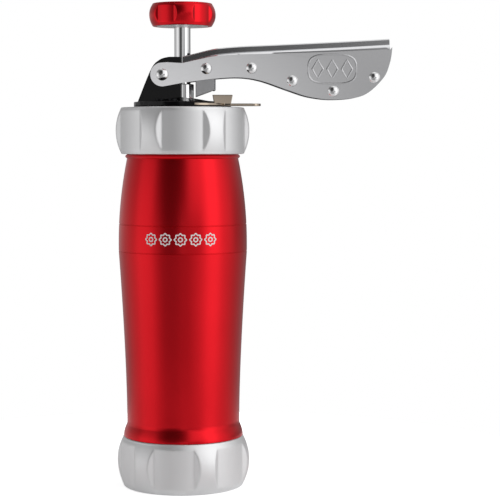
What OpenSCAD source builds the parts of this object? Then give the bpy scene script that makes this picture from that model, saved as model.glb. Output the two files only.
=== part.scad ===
// Hand cookie press: anodised barrel between two ring nuts, rod and knob, lever with a gripping dog.
// The axis of the barrel is Z, the foot of the lower nut stands on z = 0, the lever points along +X.

/* [Barrel] */
// Radius at the belly, from which the other radii of barrel, nuts and head are worked out
belly_r = 31.8; // [29:0.1:36]
// Wall at the threads' crest
thread_wall = 1.8; // [1.6:0.1:2]
// Wall at the waist, just above the lower nut
waist_wall = 2.5; // [2:0.1:3.5]
// Wall at the neck, just below the upper nut
neck_wall = 2.0; // [1.9:0.1:3]
// Length of barrel that shows between the nuts
show_h = 140; // [110:0.5:160]
// Height of the waist above the lower nut
waist_up = 11; // [8:0.5:16]
// Height of the belly above the lower nut
belly_up = 92; // [70:0.5:98]
// Height of the straight band at the belly
belly_band = 4; // [1:0.5:8]
// How far the foot bead stands out from the waist
bead_out = 1.7; // [0.5:0.1:2]
// Height of the foot bead
bead_h = 6; // [4:0.5:8]
// Height of the lip at the top of the neck
lip_h = 2.1; // [1:0.1:3]
// How far the lip stands out from the neck
lip_out = 0.9; // [0.4:0.1:1.5]
// Distance between the two fine grooves of the marking band
groove_gap = 13.1; // [8:0.1:20]
// Width of a fine groove
groove_w = 0.5; // [0.3:0.1:1]
// Depth of a fine groove
groove_d = 0.15; // [0.1:0.05:0.3]

/* [Ring nuts] */
// How far a nut stands out past the barrel's belly
nut_out = 1.2; // [0.4:0.1:2]
// Thickness of a nut from its threads to its largest radius
nut_wall = 5.6; // [5:0.1:6.5]
// Radius of the arc that a nut bulges with
nut_arc_r = 24.5; // [22:0.5:30]
// Height of the lower nut
low_nut_h = 25; // [24:0.5:28]
// Height of the upper nut
top_nut_h = 22.9; // [22:0.1:26]
// Width of the lower nut's lip round its opening
low_lip_w = 2.9; // [2.4:0.1:5]
// Thickness of the lower nut's lip, which carries the disc
low_lip_t = 2.0; // [1.5:0.1:3]
// Thickness of the upper nut's lip, which holds the head down
top_lip_t = 2.25; // [1.5:0.05:3]
// Number of finger facets round a nut
facets = 6; // [5:1:8]
// Depth of a facet's floor below the nut's largest radius
facet_d = 2.1; // [1.5:0.1:2.6]
// Half of the angle that a facet's floor spans
facet_half = 18.5; // [12:0.5:20]
// Lean of a facet's side walls away from the radius
facet_lean = 72; // [60:1:80]
// Turn of the lower nut's facets
low_nut_turn = -9; // [-30:1:30]
// Turn of the upper nut's facets
top_nut_turn = 0; // [-30:1:30]
// Width of the chamfer on a nut's rims
nut_chamfer = 0.7; // [0.3:0.1:1]

/* [Threads] */
// Depth of the threads
thread_d = 0.7; // [0.4:0.1:0.9]
// Distance between thread crests
thread_pitch = 3; // [2:0.5:4]
// Number of thread turns at each end
thread_turns = 4; // [2:1:4]
// Radial clearance between nut and barrel threads
thread_fit = 0.1; // [0.05:0.05:0.15]

/* [Biscuit disc] */
// Radial gap between the disc and the nut
disc_gap = 0.4; // [0.2:0.1:1]
// Thickness of the disc
disc_t = 1.5; // [1:0.1:2]
// Number of petals that the disc cuts
petals = 6; // [4:1:8]
// Radius of the circle that the petals stand on
petal_ring_r = 9; // [7:0.5:12]
// Radius of a petal's outer lobe
petal_r = 2.6; // [1.5:0.1:3]

/* [Piston and rod] */
// Radius of the piston rod
rod_r = 4; // [3.5:0.1:4]
// Radial clearance of the piston in the bore
piston_gap = 0.4; // [0.3:0.1:0.6]
// Height of the piston's rim
piston_h = 8; // [6:0.5:12]
// Travel that is left below the piston
stroke_left = 11; // [8:0.5:11]
// Gap that stays between the piston and the disc at the end of the travel
stroke_gap = 0.5; // [0.3:0.1:1]
// Radius of the sealing ring's cord
seal_r = 1.4; // [1:0.1:1.6]
// Length of the piston's boss that the rod stands in
piston_seat_h = 4; // [3:0.5:6]
// Wall of that boss
piston_boss_w = 3.5; // [2.5:0.1:5]
// Thickness of the piston below the rod
piston_floor_t = 3; // [2.5:0.1:4]

/* [Knob] */
// Largest radius of the knob
knob_r = 16.45; // [14:0.05:18]
// Height of the knob
knob_h = 11.2; // [9:0.1:14]
// Radius of the arc that the knob bulges with
knob_arc_r = 8.5; // [8:0.1:12]
// Depth of the knob's finger facets
knob_facet_d = 1.15; // [0.6:0.05:1.4]
// Thickness of the knob above the rod
knob_top_t = 4.3; // [3:0.1:6]
// Number of finger facets round the knob
knob_facets = 5; // [4:1:6]
// Half of the angle that a facet's floor spans on the knob
knob_facet_half = 17; // [12:0.5:20]
// Turn of the knob's facets
knob_turn = 40; // [0:1:71]
// Height of the knob's underside above the tower
knob_up = 15.1; // [15:0.1:24]
// Width of the knob's rim round the plate under it
knob_rim = 3.65; // [3:0.05:6]
// Thickness of the plate under the knob
knob_plate_t = 1.2; // [0.8:0.1:2]

/* [Head] */
// Thickness of the head's flange, which the nut clamps
flange_t = 2.7; // [2:0.1:4]
// How far the head's boss stands in from the barrel's bore
boss_in = 1.5; // [1.5:0.1:3]
// Radial gap between the boss and the upper nut's lip
boss_gap = 0.35; // [0.2:0.05:0.8]
// Height of the boss above the flange
boss_h = 3.0; // [2.6:0.1:5]
// Thickness of the roof at its rim
roof_t = 0.6; // [0.5:0.1:1]
// Rise of the conical roof from its rim to the rod
roof_rise = 2.3; // [1.5:0.1:2.3]
// Depth of the skirt inside the barrel
skirt_h = 7.5; // [4:0.5:10]
// Radius of the cavity for the brake
cavity_r = 11.5; // [9:0.5:12]
// Radius of the guide bush
bush_r = 5.6; // [5:0.1:5.6]
// Height of the bush above the boss
bush_up = 10.8; // [8:0.1:10.8]
// Outer half width of the tower
tower_half = 6.5; // [6.3:0.05:6.5]
// Wall of the tower
tower_wall = 1.2; // [1:0.05:1.2]
// Height of the tower above the boss
tower_h = 24; // [23:0.1:24]
// Half angle of the opening that the regulator swings in
swing_open = 76; // [74:1:80]

/* [Regulator] */
// How far the regulator's ring stands in from the boss
reg_in = 2; // [1.8:0.1:4]
// Width of the regulator's ring round the hub that it turns on
reg_ring_w = 5.4; // [5:0.1:6]
// Thickness of the regulator plate
reg_t = 1.2; // [1:0.1:1.4]
// Reach of the regulator's arm from the axis
reg_reach = 38.7; // [34:0.1:42]
// Width of the regulator's arm
reg_w = 9; // [6:0.5:10]
// Height of the stop tab above the plate
reg_tab_h = 4.2; // [3:0.1:4.2]
// Width of the stop tab at its foot
reg_tab_w = 8.4; // [6:0.1:9]
// Thickness of the stop tab
reg_tab_t = 1.4; // [1:0.1:1.6]

/* [Lever] */
// Distance of the lever's pivot from the rod's axis
pivot_off = 9.9; // [9.6:0.1:10.4]
// Height of the lever's pivot above the boss
pivot_up = 15.3; // [15:0.1:16]
// Length of the lever beyond its pivot
lever_len = 112.9; // [100:0.1:125]
// Radius of the lever's ears
ear_r = 5.8; // [5:0.1:6]
// Thickness of the lever's sheet
lever_t = 1.2; // [1:0.05:1.3]
// Gap between tower and cheek
cheek_gap = 0.3; // [0.25:0.05:0.5]
// Height of the rounded ridge on the lever
ridge_h = 3.0; // [2.4:0.1:3.5]
// Half width of the ridge
ridge_half = 5.8; // [5.6:0.1:6]
// Radius of a rivet's head
rivet_head_r = 2.75; // [2:0.05:3]
// Height of a rivet's head
rivet_head_h = 1.3; // [0.8:0.1:1.6]
// Radius of a rivet's shank
rivet_r = 1.5; // [1:0.1:1.6]
// Radius of the pivot pin
pivot_r = 2; // [1.8:0.1:2]
// Radius of the pin that the dog hangs on
dog_pin_r = 1.8; // [1.5:0.1:1.8]
// Outer radius of the spacers between the cheeks
spacer_r = 3; // [2.4:0.1:3.4]

/* [Drive dog] */
// Distance of the dog's pin from the lever's pivot
dog_reach = 21.5; // [21:0.1:22]
// Height of the dog's pin above the lever's pivot
dog_rise = 2.9; // [2.4:0.1:3]
// Outer half width of the dog
dog_half = 6.2; // [6:0.05:6.3]
// Thickness of the dog's sheet
dog_t = 1; // [0.8:0.05:1.1]
// Thickness of the plate that grips the rod
grip_t = 2; // [1.5:0.1:2.2]
// Radial clearance of the grip plate round the rod
grip_gap = 0.35; // [0.3:0.05:0.4]
// Radius of the dog's spring wire
wire_r = 0.3; // [0.2:0.05:0.35]

/* [Screws] */
// Shank radius of the screws that hold the tower
tower_screw_r = 1.25; // [1:0.05:1.3]
// Length of the screws that hold the tower
tower_screw_h = 9; // [6:0.5:9]
// Shank radius of the screws that hold the brake's cover
cover_screw_r = 1.1; // [0.8:0.1:1.2]
// Length of the screws that hold the brake's cover
cover_screw_h = 6; // [4:0.5:6]
// Shank radius of the screw that holds the piston
piston_screw_r = 1.85; // [1.5:0.05:2]
// Length of the screw that holds the piston
piston_screw_h = 12; // [8:0.5:14]
// Radius of the washer under the piston's screw
washer_r = 5; // [4:0.1:6]
// Thickness of that washer
washer_t = 0.6; // [0.4:0.1:0.8]

/* [Fits] */
// Radial clearance of a turning or sliding pin
run_fit = 0.05; // [0.03:0.01:0.08]
// Radial clearance of a piece that is pressed or riveted in
still_fit = 0.02; // [0.01:0.01:0.03]
// Clearance between faces that slide on each other
face_gap = 0.1; // [0.05:0.05:0.15]

/* [Hidden] */
$fn = 96;
eps = 0.01;

// Radii, from the belly inwards
nut_r = belly_r + nut_out;
facet_r = nut_r - facet_d;
nut_bore_r = nut_r - nut_wall;
thread_r = nut_bore_r - thread_fit;
bore_r = thread_r - thread_wall;
waist_r = bore_r + waist_wall;
neck_r = bore_r + neck_wall;
low_open_r = nut_bore_r - low_lip_w;
disc_r = nut_bore_r - disc_gap;
boss_r = bore_r - boss_in;
reg_ring_r = boss_r - reg_in;
hub_r = reg_ring_r - reg_ring_w;
piston_r = bore_r - piston_gap;
knob_plate_r = knob_r - knob_rim;

// Heights along the axis
barrel_z = low_lip_t + disc_t;
top_nut_z = low_nut_h + show_h;
top_nut_top = top_nut_z + top_nut_h;
flange_z = top_nut_top - top_lip_t - face_gap - flange_t;
barrel_top = flange_z;
waist_z = low_nut_h + waist_up;
belly_z = low_nut_h + belly_up;
boss_z = flange_z + flange_t + boss_h;
piston_z = barrel_z + stroke_gap + stroke_left;
pivot_x = -pivot_off;
pivot_z = boss_z + pivot_up;
dog_x = pivot_x + dog_reach;
dog_z = pivot_z + dog_rise;
tower_top = boss_z + tower_h;
knob_z = tower_top + knob_up;
rod_z = piston_z + piston_floor_t;
washer_z = piston_z + 1.5;
rod_top = knob_z + knob_h - knob_top_t;
hub_top = boss_z + reg_t + 2 * face_gap;
roof_rim = hub_top + roof_t;
bush_top = boss_z + bush_up;
cavity_top = boss_z - 2.6;
cover_z = flange_z - skirt_h - 3.5;
cover_t = 1.2;
brake_z = cover_z + 2.2;
brake_t = 1.6;
seal_z = piston_z + piston_h * 0.45;

// Shape of the parts that sit on the barrel's ends
cheek_in = tower_half + cheek_gap;
cheek_out = cheek_in + lever_t;
tower_in = tower_half - tower_wall;
tower_edge = -0.8;
tower_back = 1.8 - boss_r;
tower_seat_z = roof_rim + 0.2 * roof_rise;
grip_z = dog_z - 1.2;
dog_left = bush_r + 0.9;
dog_right = dog_left + 9.2;
dog_foot = dog_z - 13.7;
well_x = dog_right - 1.5;
well_half = dog_half + 0.7;
well_z = boss_z - 0.8;
coil_r = pivot_r + 0.9;
coil_wire = 0.4;
tower_screw_ring = hub_r - tower_screw_r - 0.75;
tower_screw_at = [for (a = [109, 139]) [tower_screw_ring * cos(a), tower_screw_ring * sin(a)]];
rivet_share = [0.387, 0.564, 0.743, 0.922];
rivet_rise = [3.2, -3.0, -8.0, -1.3];

// A smooth curve through the knots k, n pieces between one knot and the next
function bent(a, b, c, d, t) = 0.5 * (2 * b + (c - a) * t + (2 * a - 5 * b + 4 * c - d) * t * t
    + (3 * b - a - 3 * c + d) * t * t * t);
function curve(k, n = 4) = let (m = len(k) - 1) concat([for (i = [0:m - 1], j = [0:n - 1])
    bent(k[max(i - 1, 0)], k[i], k[i + 1], k[min(i + 2, m)], j / n)], [k[m]]);
function arc(r, a0, a1, n = 12) = [for (i = [0:n]) let (a = a0 + (a1 - a0) * i / n) [r * cos(a), r * sin(a)]];

// Radius of the barrel's outside at height z
function barrel_r(z) =
    z < waist_z ? waist_r
    : z < belly_z ? waist_r + (belly_r - waist_r) * pow((z - waist_z) / (belly_z - waist_z), 1.5)
    : z < belly_z + belly_band ? belly_r
    : belly_r - (belly_r - neck_r) * pow((z - belly_z - belly_band)
        / (top_nut_z - lip_h - belly_z - belly_band), 2);

// Solids of revolution and flat sheets
module spun(points) {
    rotate_extrude()
        polygon(points);
}

module sheet_xz(y, t) {
    translate([0, y + t, 0])
        rotate([90, 0, 0])
            linear_extrude(height = t)
                children();
}

module both_sides() {
    children();
    mirror([0, 1, 0])
        children();
}

module cross_pin(x, z, r, half) {
    translate([x, half, z])
        rotate([90, 0, 0])
            cylinder(r = r, h = 2 * half);
}

module tube(r_out, r_in, h) {
    difference() {
        cylinder(r = r_out, h = h);
        translate([0, 0, -1])
            cylinder(r = r_in, h = h + 2);
    }
}

// A coil of round wire whose turns touch, wound about Y
module close_coil(r, wire, half) {
    turns = floor(2 * (half - wire) / (wire * 1.9));
    for (i = [0:turns])
        translate([0, (i - turns / 2) * wire * 1.9, 0])
            rotate([90, 0, 0])
                rotate_extrude()
                    translate([r, 0])
                        circle(r = wire, $fn = 24);
}

// A straight piece of wire from a to b in the XZ plane
module wire_leg(a, b, wire) {
    d = b - a;
    translate([a[0], 0, a[1]])
        rotate([0, atan2(d[0], d[1]), 0])
            cylinder(r = wire, h = norm(d), $fn = 24);
    for (p = [a, b])
        translate([p[0], 0, p[1]])
            sphere(r = wire, $fn = 24);
}

// An open helix of round wire, swept as one closed skin
module helix(r, wire, h, turns) {
    sides = 8;
    steps = 18 * turns;
    rings = [for (i = [0:steps]) let (a = 360 * i / 18, z = wire + (h - 2 * wire) * i / steps)
        [for (j = [0:sides - 1]) let (b = 360 * j / sides)
            [(r + wire * cos(b)) * cos(a), (r + wire * cos(b)) * sin(a), z + wire * sin(b)]]];
    points = [for (ring = rings, p = ring) p];
    wall = [for (i = [0:steps - 1], j = [0:sides - 1]) let (k = (j + 1) % sides)
        [i * sides + j, i * sides + k, (i + 1) * sides + k, (i + 1) * sides + j]];
    ends = [[for (j = [sides - 1:-1:0]) j], [for (j = [0:sides - 1]) steps * sides + j]];
    polyhedron(points, concat(wall, ends));
}

// Ridges of a thread as plain rings, cut by grooves from height z up
module thread_grooves(r, d, z, turns) {
    half = thread_pitch * 0.3;
    for (i = [0:turns - 1])
        translate([0, 0, z + i * thread_pitch])
            spun([[r - d, 0], [r + 0.5, -half - 0.5], [r + 0.5, half + 0.5]]);
}

// Barrel
module barrel() {
    bead_z = low_nut_h + face_gap;
    lip_z = top_nut_z - lip_h - face_gap;
    bead = [for (i = [0:8]) [waist_r + bead_out * cos(90 * i / 8), bead_z + bead_h * (0.1 + 0.9 * i / 8)]];
    body = [for (i = [0:24]) let (z = waist_z + (lip_z - waist_z) * i / 24) [barrel_r(z), z]];
    lip = [for (i = [0:6]) [neck_r + lip_out * sin(180 * i / 6), lip_z + lip_h * i / 6]];
    color("firebrick")
        difference() {
            spun(concat([[bore_r, barrel_z], [thread_r, barrel_z], [thread_r, bead_z],
                [waist_r + bead_out, bead_z]], bead, body, lip,
                [[thread_r, top_nut_z - face_gap], [thread_r, barrel_top], [bore_r, barrel_top]]));
            thread_grooves(thread_r, thread_d, barrel_z + thread_pitch, thread_turns);
            thread_grooves(thread_r, thread_d, barrel_top - thread_pitch * thread_turns, thread_turns);
            for (z = [belly_z, belly_z + groove_gap])
                translate([0, 0, z])
                    tube(nut_r, barrel_r(z) - groove_d, groove_w);
        }
}

// Outside of a ring nut or of the knob: a bulged ring with finger facets
module facet_cut(r, floor_r, h, turn, count, half) {
    x = floor_r * cos(half);
    y = floor_r * sin(half);
    out = r - floor_r + 3;
    for (i = [0:count - 1])
        rotate(i * 360 / count + turn - 90)
            linear_extrude(height = h)
                difference() {
                    polygon([[x, -y], [x + out * cos(facet_lean), -y - out * sin(facet_lean)],
                        [r + 5, -y - out], [r + 5, y + out],
                        [x + out * cos(facet_lean), y + out * sin(facet_lean)], [x, y]]);
                    circle(r = floor_r);
                }
}

module bulged(r, arc_r, h, chamfer, turn, floor_r, count = facets, half = facet_half) {
    lean = asin((h / 2 - chamfer) / arc_r);
    end_r = r - arc_r + arc_r * cos(lean);
    difference() {
        spun(concat([[0, 0], [end_r - chamfer, 0]],
            [for (p = arc(arc_r, -lean, lean, 12)) [r - arc_r + p[0], h / 2 + p[1]]],
            [[end_r - chamfer, h], [0, h]]));
        translate([0, 0, -1])
            facet_cut(r, floor_r, h + 2, turn, count, half);
    }
}

module nut_threads(z) {
    for (i = [0:thread_turns - 1])
        translate([0, 0, z + i * thread_pitch])
            spun([[nut_bore_r - 0.5, -thread_d], [nut_bore_r - 0.5, thread_d], [nut_bore_r + thread_d, 0]]);
}

module lower_nut() {
    color("gainsboro")
        difference() {
            bulged(nut_r, nut_arc_r, low_nut_h, nut_chamfer, low_nut_turn, facet_r);
            translate([0, 0, -1])
                cylinder(r = low_open_r, h = low_nut_h);
            translate([0, 0, low_lip_t])
                cylinder(r = nut_bore_r, h = low_nut_h);
            nut_threads(barrel_z + 1.5 * thread_pitch);
        }
}

module upper_nut() {
    color("gainsboro")
        translate([0, 0, top_nut_z])
            difference() {
                bulged(nut_r, nut_arc_r, top_nut_h, nut_chamfer, top_nut_turn, facet_r);
                translate([0, 0, -1])
                    cylinder(r = nut_bore_r, h = top_nut_h - top_lip_t + 1);
                translate([0, 0, 1])
                    cylinder(r = boss_r + boss_gap, h = top_nut_h);
                nut_threads(1.5 * thread_pitch);
            }
}

// Disc with a flower of holes round a small centre hole
module biscuit_disc() {
    color("silver")
        translate([0, 0, low_lip_t])
            difference() {
                cylinder(r = disc_r, h = disc_t);
                for (i = [0:petals - 1])
                    rotate(i * 360 / petals) {
                        translate([petal_ring_r, 0, -1])
                            cylinder(r = petal_r, h = disc_t + 2);
                        translate([petal_ring_r / 2 - 1, -0.8, -1])
                            cube([petal_ring_r / 2 + 1, 1.6, disc_t + 2]);
                    }
                translate([0, 0, -1])
                    cylinder(r = petal_r / 2, h = disc_t + 2);
            }
}

// Head: the moulding that closes the barrel
module tower_screw_holes(r, z, h) {
    both_sides()
        for (p = tower_screw_at)
            translate([p[0], p[1], z])
                cylinder(r = r, h = h, $fn = 32);
}

module well(z, h) {
    translate([0, -well_half, z])
        cube([well_x, 2 * well_half, h]);
}

module head_base() {
    skirt_r = bore_r - 0.3;
    core_r = cavity_r + 4.5;
    color("#1c1c1e")
        difference() {
            spun([[0, cover_z + cover_t], [core_r, cover_z + cover_t], [core_r, flange_z - 3],
                [skirt_r - 2.7, flange_z - 3], [skirt_r - 2.7, flange_z - skirt_h],
                [skirt_r, flange_z - skirt_h], [skirt_r, flange_z], [nut_bore_r - 0.2, flange_z],
                [nut_bore_r - 0.2, flange_z + flange_t], [boss_r, flange_z + flange_t], [boss_r, boss_z],
                [hub_r, boss_z], [hub_r, hub_top], [0, hub_top]]);
            translate([0, 0, cover_z])
                cylinder(r = cavity_r, h = cavity_top - cover_z);
            translate([0, 0, cavity_top - 1])
                cylinder(r = bush_r + still_fit, h = 9);
            well(well_z, 9);
            tower_screw_holes(tower_screw_r + still_fit, flange_z - 1, tower_screw_h);
            cover_screw_set(cover_screw_r + still_fit, cover_screw_h + 1);
        }
}

// Conical roof with the tower that carries the lever
module tower_outline(inset) {
    foot = boss_z + 0.2;
    back = tower_back + inset * 1.3;
    cap = pivot_x + inset * 1.3;
    polygon(concat([[tower_edge, foot], [back, foot]],
        curve([[back, foot + 1.2], [cap - 5.6, tower_top - 6.3], [cap - 1.7, tower_top - 1.7 - inset * 0.6],
            [cap + 2.5, tower_top - 0.15 - inset], [cap + 6.7, tower_top - inset]], 5),
        [[tower_edge, tower_top - inset]]));
}

module head_tower() {
    roof_top = roof_rim + roof_rise;
    color("#161617")
        difference() {
            union() {
                difference() {
                    spun([[0, boss_z + face_gap], [boss_r, boss_z + face_gap], [boss_r, roof_rim],
                        [0.6 * boss_r, tower_seat_z], [bush_r + 0.4, roof_top], [0, roof_top]]);
                    translate([0, 0, boss_z])
                        cylinder(r = reg_ring_r + 0.3, h = reg_t + 2 * face_gap);
                    swing_sector();
                }
                difference() {
                    sheet_xz(-tower_half, 2 * tower_half)
                        tower_outline(0);
                    translate([0, 0, boss_z])
                        cylinder(r = reg_ring_r + 0.3, h = reg_t + 2 * face_gap);
                }
            }
            difference() {
                sheet_xz(-tower_in, 2 * tower_in)
                    tower_outline(1.6);
                translate([0, 0, boss_z])
                    cylinder(r = boss_r, h = roof_top - boss_z - 0.6);
            }
            translate([tower_edge - 6, -tower_in, roof_top - 0.6])
                cube([20, 2 * tower_in, tower_h]);
            translate([0, 0, boss_z - 1])
                cylinder(r = bush_r + run_fit, h = tower_h + 3);
            well(boss_z - 1, 9);
            cross_pin(pivot_x, pivot_z, pivot_r + run_fit, tower_half + 1);
            tower_screw_holes(tower_screw_r + still_fit, boss_z - 1, roof_rise + 3);
            tower_screw_holes(head_r(tower_screw_r) + run_fit, tower_seat_z, roof_rise);
        }
}

module swing_sector() {
    r = boss_r + 1;
    translate([0, 0, boss_z - 1])
        linear_extrude(height = 9)
            difference() {
                polygon(concat([[0, 0]], arc(r / cos(swing_open / 6), -swing_open, swing_open, 6)));
                circle(r = hub_r - 0.8);
            }
}

function head_r(r) = 1.7 * r;

module pan_screw(r, h) {
    head_h = 0.75 * r;
    difference() {
        union() {
            cylinder(r = r, h = h, $fn = 32);
            translate([0, 0, -head_h])
                cylinder(r = head_r(r), h = head_h, $fn = 48);
        }
        for (a = [0, 90])
            rotate(a)
                translate([-0.6 * head_r(r), -0.2 * r, -head_h - 1])
                    cube([1.2 * head_r(r), 0.4 * r, head_h * 0.5 + 1]);
    }
}

module tower_screws() {
    color("#222222")
        both_sides()
            for (p = tower_screw_at)
                translate([p[0], p[1], tower_seat_z])
                    rotate([180, 0, 0])
                        pan_screw(tower_screw_r, tower_screw_h);
}

module guide_bush() {
    color("lightgray")
        translate([0, 0, cavity_top - 1.2])
            difference() {
                union() {
                    cylinder(r = bush_r, h = bush_top - cavity_top + 1.2);
                    cylinder(r = bush_r + 1.6, h = 1.2 - eps);
                }
                translate([0, 0, -1])
                    cylinder(r = rod_r + run_fit, h = bush_top - cavity_top + 4);
            }
}

// Brake that keeps the rod from coming back
module brake_plate() {
    color("slategray")
        translate([0, 0, brake_z])
            difference() {
                cylinder(r = cavity_r - 1.5, h = brake_t);
                translate([0, 0, -1])
                    cylinder(r = rod_r + grip_gap, h = brake_t + 2);
            }
}

module brake_spring() {
    color("silver")
        translate([0, 0, brake_z + brake_t + 0.05])
            helix(bush_r + 0.6, 0.4, cavity_top - 1.2 - brake_z - brake_t - 0.1, 4);
}

module cover_screw_set(r, h) {
    for (a = [90, 210, 330])
        rotate(a)
            translate([cavity_r + 2.3, 0, cover_z])
                cylinder(r = r, h = h, $fn = 32);
}

module brake_cover() {
    color("lightgray")
        difference() {
            translate([0, 0, cover_z])
                tube(cavity_r + 4.4, rod_r + 0.6, cover_t);
            cover_screw_set(cover_screw_r + still_fit, cover_screw_h + 1);
        }
}

module cover_screws() {
    color("gray")
        for (a = [90, 210, 330])
            rotate(a)
                translate([cavity_r + 2.3, 0, cover_z])
                    pan_screw(cover_screw_r, cover_screw_h);
}

// Regulator plate: a ring on the hub, an arm, and the tab that stops the lever
module regulator() {
    tab_x = hub_r - 1.2;
    tab_y = -cheek_out - 0.1;
    tip_r = reg_w / 2;
    plate_z = boss_z + face_gap;
    color("#8c7a5c")
        difference() {
            union() {
                translate([0, 0, plate_z])
                    cylinder(r = reg_ring_r, h = reg_t);
                translate([hub_r, -tip_r, plate_z])
                    cube([reg_reach - tip_r - hub_r, reg_w, reg_t]);
                translate([reg_reach - tip_r, 0, plate_z])
                    cylinder(r = tip_r, h = reg_t);
                translate([tab_x, tab_y, plate_z])
                    cube([reg_tab_w, -tab_y, reg_t]);
                sheet_xz(tab_y, reg_tab_t)
                    polygon([[tab_x, plate_z], [tab_x + reg_tab_w, plate_z],
                        [tab_x + reg_tab_w, plate_z + reg_t],
                        [tab_x + reg_tab_w + 0.8, plate_z + reg_t + reg_tab_h],
                        [tab_x - 0.8, plate_z + reg_t + reg_tab_h], [tab_x, plate_z + reg_t]]);
            }
            translate([0, 0, plate_z - 1])
                cylinder(r = hub_r + run_fit, h = reg_t + 1 + eps);
            translate([reg_reach - tip_r - 1, 0, plate_z + reg_t * 0.5])
                cylinder(r = 1.3, h = reg_t);
        }
}

// Lever outlines, measured from its pivot: share of the length, height
under_knots = [[0.085, -4.1], [0.218, -2.1], [0.336, -1.4], [0.429, -3.0], [0.545, -7.5], [0.642, -10.9],
    [0.752, -12.1], [0.874, -10.1], [0.959, -1.9], [0.99, 6], [1, 13.5]];
foot_knots = [[0.088, 5.9], [0.151, 7.7], [0.218, 9.5], [0.262, 10.2], [0.352, 11.0], [0.471, 11.6],
    [0.776, 13.3], [0.99, 14.7]];
function lever_at(k) = [for (p = k) [pivot_x + p[0] * lever_len, pivot_z + p[1]]];
under = curve(lever_at(under_knots));
ridge_foot = curve(lever_at(foot_knots));
function raised(k, h) = [for (p = k) [p[0], p[1] + h]];
function back(k) = [for (i = [len(k) - 1:-1:0]) k[i]];

module strip(low, high) {
    polygon(concat(raised(ridge_foot, low), back(raised(ridge_foot, high))));
}

module cheek() {
    ear = arc(ear_r, 100, 279);
    sheet_xz(cheek_in, lever_t)
        polygon(concat([for (p = ear) [pivot_x + p[0], pivot_z + p[1]]], under, back(ridge_foot),
            [[pivot_x + 2.5, pivot_z + ear_r + 0.2]]));
}

module lever_shell() {
    slot_end = rod_r + 4.5;
    end_x = ridge_foot[len(ridge_foot) - 1][0];
    end_z = ridge_foot[len(ridge_foot) - 1][1];
    color("silver")
        difference() {
            union() {
                both_sides() {
                    cheek();
                    sheet_xz(ridge_half - lever_t, cheek_out - ridge_half + lever_t)
                        strip(-lever_t, 0);
                    sheet_xz(ridge_half - lever_t, lever_t)
                        strip(-lever_t, ridge_h);
                }
                sheet_xz(-ridge_half, 2 * ridge_half)
                    strip(ridge_h - lever_t, ridge_h);
                translate([end_x - lever_t, -ridge_half, end_z - lever_t])
                    cube([lever_t, 2 * ridge_half, ridge_h + lever_t - 0.1]);
            }
            translate([pivot_x, -ridge_half + lever_t, pivot_z])
                cube([slot_end - pivot_x, 2 * (ridge_half - lever_t), knob_z - pivot_z]);
            cross_pin(pivot_x, pivot_z, pivot_r + still_fit, cheek_out + 1);
            cross_pin(dog_x, dog_z, dog_pin_r + still_fit, cheek_out + 1);
            for (i = [0:len(rivet_share) - 1])
                cross_pin(rivet_x(i), rivet_z(i), rivet_r + still_fit, cheek_out + 1);
        }
}

function rivet_x(i) = pivot_x + rivet_share[i] * lever_len;
function rivet_z(i) = pivot_z + rivet_rise[i];

// A headed pin through both cheeks
module dome(r, h) {
    ball = (r * r + h * h) / (2 * h);
    intersection() {
        translate([0, 0, h - ball])
            sphere(r = ball);
        cylinder(r = r + 1, h = h + 1);
    }
}

module headed_pin(x, z, r, head_r) {
    cross_pin(x, z, r, cheek_out);
    both_sides()
        translate([x, cheek_out, z])
            rotate([-90, 0, 0])
                dome(head_r, rivet_head_h);
}

module lever_rivets() {
    color("white")
        for (i = [0:len(rivet_share) - 1])
            headed_pin(rivet_x(i), rivet_z(i), rivet_r, rivet_head_r);
}

module lever_spacers() {
    color("gray")
        for (i = [0:len(rivet_share) - 1])
            difference() {
                cross_pin(rivet_x(i), rivet_z(i), spacer_r, cheek_in - still_fit);
                cross_pin(rivet_x(i), rivet_z(i), rivet_r + still_fit, cheek_in + 1);
            }
}

module pivot_pin() {
    color("white")
        headed_pin(pivot_x, pivot_z, pivot_r, rivet_head_r + 0.25);
}

module dog_pin() {
    color("white")
        headed_pin(dog_x, dog_z, dog_pin_r, rivet_head_r);
}

// Spring wound on the pivot pin, its leg leaning on the tower's back
module return_spring() {
    left = [pivot_x - coil_r, pivot_z];
    color("silver") {
        translate([pivot_x, 0, pivot_z])
            close_coil(coil_r, coil_wire, tower_in - 1);
        wire_leg(left, left + [0.2, 3], coil_wire);
    }
}

// Folded sheet channel that hangs on its pin beside the rod
module drive_dog() {
    flange_foot = dog_foot + 3.6;
    color("dimgray")
        difference() {
            union() {
                both_sides()
                    sheet_xz(dog_half - dog_t, dog_t)
                        polygon(concat([[dog_left, dog_foot], [dog_left + 7.4, dog_foot + 2.7],
                            [dog_right, flange_foot], [dog_right, dog_z - 1.4]],
                            [for (p = arc(3.6, 0, 90)) [dog_right - 3.6 + p[0], dog_z - 1.4 + p[1]]],
                            [[dog_left, dog_z + 2.2]]));
                translate([dog_right - dog_t, -dog_half, flange_foot])
                    cube([dog_t, 2 * dog_half, dog_z - 1.9 - flange_foot]);
            }
            cross_pin(dog_x, dog_z, dog_pin_r + run_fit, dog_half + 1);
            translate([dog_left + 0.25, -dog_half - 1, grip_z - still_fit])
                cube([2.2, 2 * dog_half + 2, grip_t + 2 * still_fit]);
        }
}

module grip_plate() {
    left = rod_r + grip_gap + 1.35;
    half = tower_in - 0.2;
    color("slategray")
        translate([0, 0, grip_z])
            difference() {
                union() {
                    translate([-left, -half, 0])
                        cube([left + dog_left + 2.2, 2 * half, grip_t]);
                    translate([dog_left + 0.4, -dog_half, 0])
                        cube([1.8, 2 * dog_half, grip_t]);
                }
                translate([0, 0, -1])
                    cylinder(r = rod_r + grip_gap, h = grip_t + 2);
            }
}

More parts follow.
